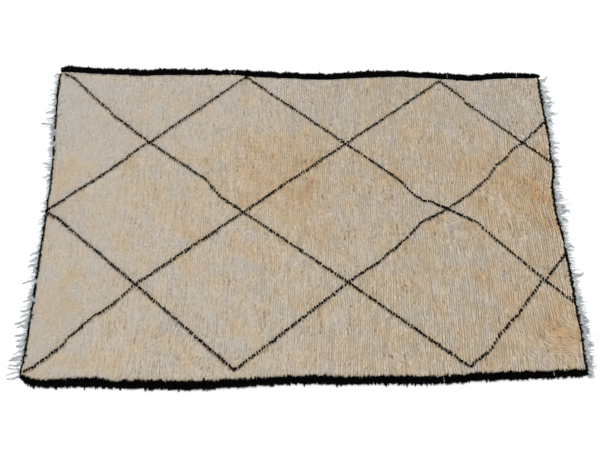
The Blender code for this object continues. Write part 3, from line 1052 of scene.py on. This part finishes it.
def fringe(name, end):
    """One end's loose warp: the tassels, and short ends all along the band."""
    draw = np.random.default_rng(41 + end.seed)
    low, high = stretch_of(name)
    made = []
    for tassel in map(Tassel._make, end.tassels):
        band = np.interp(tassel.across, *zip(*end.bands))
        made += tassel_yarns(tassel, edge(name, tassel.across), band, end, draw)
    for across in np.arange(low + 0.006, high - 0.006, WARP * 0.7):
        band = np.interp(across, *zip(*end.bands))
        root = edge(name, across)
        loose = draw.gamma(1.5, 0.0095)
        # where the black row is hidden, the warp lies over it
        inwards, height = (0.012, 0.0150) if in_break(end, across) else (0.002, 0.0028)
        start = (root - end.outwards * inwards, across, height)
        tip = (root + end.outwards * (band + loose), across + draw.normal(0, 0.004), 0.0020)
        hook = draw.normal(0, end.hook)
        wave = draw.uniform(0.0006, 0.0036) * end.wave
        path = strand_path(start, tip, wave, hook, draw, SHORT_POINTS)
        made.append((path, draw.uniform(*end.radius) * np.linspace(1, 0.5, SHORT_POINTS)))
    if name == "left":
        made += slack_warps()
    return yarns(f"fringe_{name}_yarns", *zip(*made))


def stray_yarns():
    """The pale yarns lying over the borders' tufts, from the ivory to the outer edge."""
    paths = []
    for name, along, slant in STRAYS:
        inner, outer = border_span(name, np.array([along]))
        share = np.linspace(-0.1, 0.9, 6)
        across = inner[0] + (outer[0] - inner[0]) * share
        height = np.interp(share, (-0.1, 0.3, 0.9), (0.0200, 0.0225, 0.0165))
        paths.append(np.stack([along + slant * share, across, height], 1))
    return yarns("stray_yarns", paths, [np.full(6, 0.0010)] * len(paths))


def band_flecks():
    """Ends of black yarn caught in the right band."""
    draw = np.random.default_rng(71)
    paths = []
    for across in FLECKS:
        for _ in range(2):
            along = edge("right", across) + draw.uniform(0.008, 0.024)
            turn = draw.uniform(0, math.pi)
            way = np.array((math.cos(turn), math.sin(turn), 0)) * draw.uniform(0.0015, 0.0035)
            middle = np.array((along, across + draw.uniform(-0.006, 0.006), 0.0030))
            paths.append(np.stack([middle - way, middle, middle + way]))
    return yarns("band_flecks", paths, [np.full(3, 0.0009)] * len(paths))


def band_cloth(name, end):
    """The flat-woven band at one end, as a thin closed strip with an uneven edge."""
    draw = np.random.default_rng(51 + end.seed)
    low, high = stretch_of(name)
    stops = np.linspace(end.woven_from or low + 0.001, high - 0.001, 260)
    band = np.interp(stops, *zip(*end.bands)) * np.interp(stops, *zip(*end.woven))
    band += draw.normal(0, 0.0022, len(stops))
    strip = bmesh.new()
    bmesh.ops.create_grid(strip, x_segments=3, y_segments=len(stops) - 1, size=0.5)
    for vert in strip.verts:
        stop = round((vert.co.y + 0.5) * (len(stops) - 1))
        off = 0.0004 + (vert.co.x + 0.5) * band[stop]
        vert.co = (edge(name, stops[stop]) + end.outwards * off, stops[stop], 0.0006)
    grown = bmesh.ops.extrude_face_region(strip, geom=strip.faces[:])["geom"]
    top = [v for v in grown if isinstance(v, bmesh.types.BMVert)]
    bmesh.ops.translate(strip, verts=top, vec=(0, 0, 0.0012))
    bmesh.ops.recalc_face_normals(strip, faces=strip.faces)
    return as_mesh(f"band_{name}", strip)


# -------- the rug


def make_rug():
    """Every piece of the rug."""
    ivory, black, warp, weave = ivory_wool(), black_wool(), warp_yarn(), ground_weave()
    pile_shapes = tuft_shapes("pile_tuft", PILE_TUFT, 1)
    line_shapes = tuft_shapes("line_tuft", LINE_TUFT, 2)
    shag_shapes = tuft_shapes("shag_tuft", SHAG_TUFT, 3)
    places = line_places()
    extra = []
    knots, shares = ivory_knots(places)
    for number in range(PILE_PIECES):
        part = (shares >= number / PILE_PIECES) & (shares < (number + 1) / PILE_PIECES)
        name = f"pile_{number + 1}"
        extra.append(plant(name, some(knots, part), pile_shapes, ivory))
    extra.append(plant("lattice", lattice_knots(places), line_shapes, black))
    for name, end in ENDS.items():
        knots = end_knots(name, end)
        extra.append(plant(f"end_row_{name}", knots, line_shapes, black))
        extra.append(show(f"end_cord_{name}", end_cord(name, end), black))
    for name in ("near", "far"):
        knots = border_knots(name)
        shag = plant(f"border_{name}_shag", knots, shag_shapes, black)
        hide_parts(f"border_{name}")
        core = show(f"border_{name}_core", border_core(name), black)
        extra += [shag, core]
    for name, end in ENDS.items():
        mesh = fringe(name, end)
        lay_bake_map(mesh)
        loose = show(f"fringe_{name}_yarns", mesh, warp)
        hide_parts(f"fringe_{name}")
        extra.append(loose)
        extra.append(show(f"band_{name}", band_cloth(name, end), warp))
    extra.append(show("stray_yarns", stray_yarns(), warp))
    extra.append(show("band_flecks", band_flecks(), black))
    ground = show("ground_cloth", ground_cloth(), weave)
    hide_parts("pile_carpet")


# -------- floor, light, camera


def make_floor():
    """A plain pale floor."""
    floor = bmesh.new()
    bmesh.ops.create_grid(floor, x_segments=1, y_segments=1, size=30)
    mesh = as_mesh("floor", floor)
    matt = {"Base Color": linear("#FDFDFD"), "Roughness": 1.0, "Specular IOR Level": 0.0}
    mesh.materials.append(new_finish("matt white floor", matt)[0])
    piece = put("floor", mesh)
    piece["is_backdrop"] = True


def make_light():
    """Even white light from all round, and one broad lamp from the near right."""
    world = bpy.data.worlds.new("soft studio")
    world.use_nodes = True
    sky = world.node_tree.nodes["Background"].inputs
    sky["Color"].default_value = linear("#FFFFFF")
    sky["Strength"].default_value = 1.0
    bpy.context.scene.world = world
    lamp = bpy.data.lights.new("key", "SUN")
    lamp.energy = 0.7
    lamp.angle = math.radians(18)
    key = put("key", lamp)
    key.rotation_euler = Vector((0.35, -0.40, 1.0)).to_track_quat("Z", "Y").to_euler()


def make_camera():
    """A camera held high in front of the near border, looking down at the whole rug."""
    lens = bpy.data.cameras.new("camera")
    lens.sensor_width = 36
    lens.lens = 37.2
    lens.clip_end = 100
    camera = put("camera", lens)
    camera.location = (-0.0145, -1.295, 3.347)
    below_level = 70.494  # degrees
    camera.rotation_euler = (math.radians(90 - below_level), 0, 0)
    bpy.context.scene.camera = camera


make_floor()
make_light()
make_camera()
make_rug()
bpy.context.scene.view_settings.view_transform = "Standard"

shown_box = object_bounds()
boxes = {"solid": solid_box, "shown": shown_box}
{key: np.array(box).tolist() for key, box in boxes.items()}
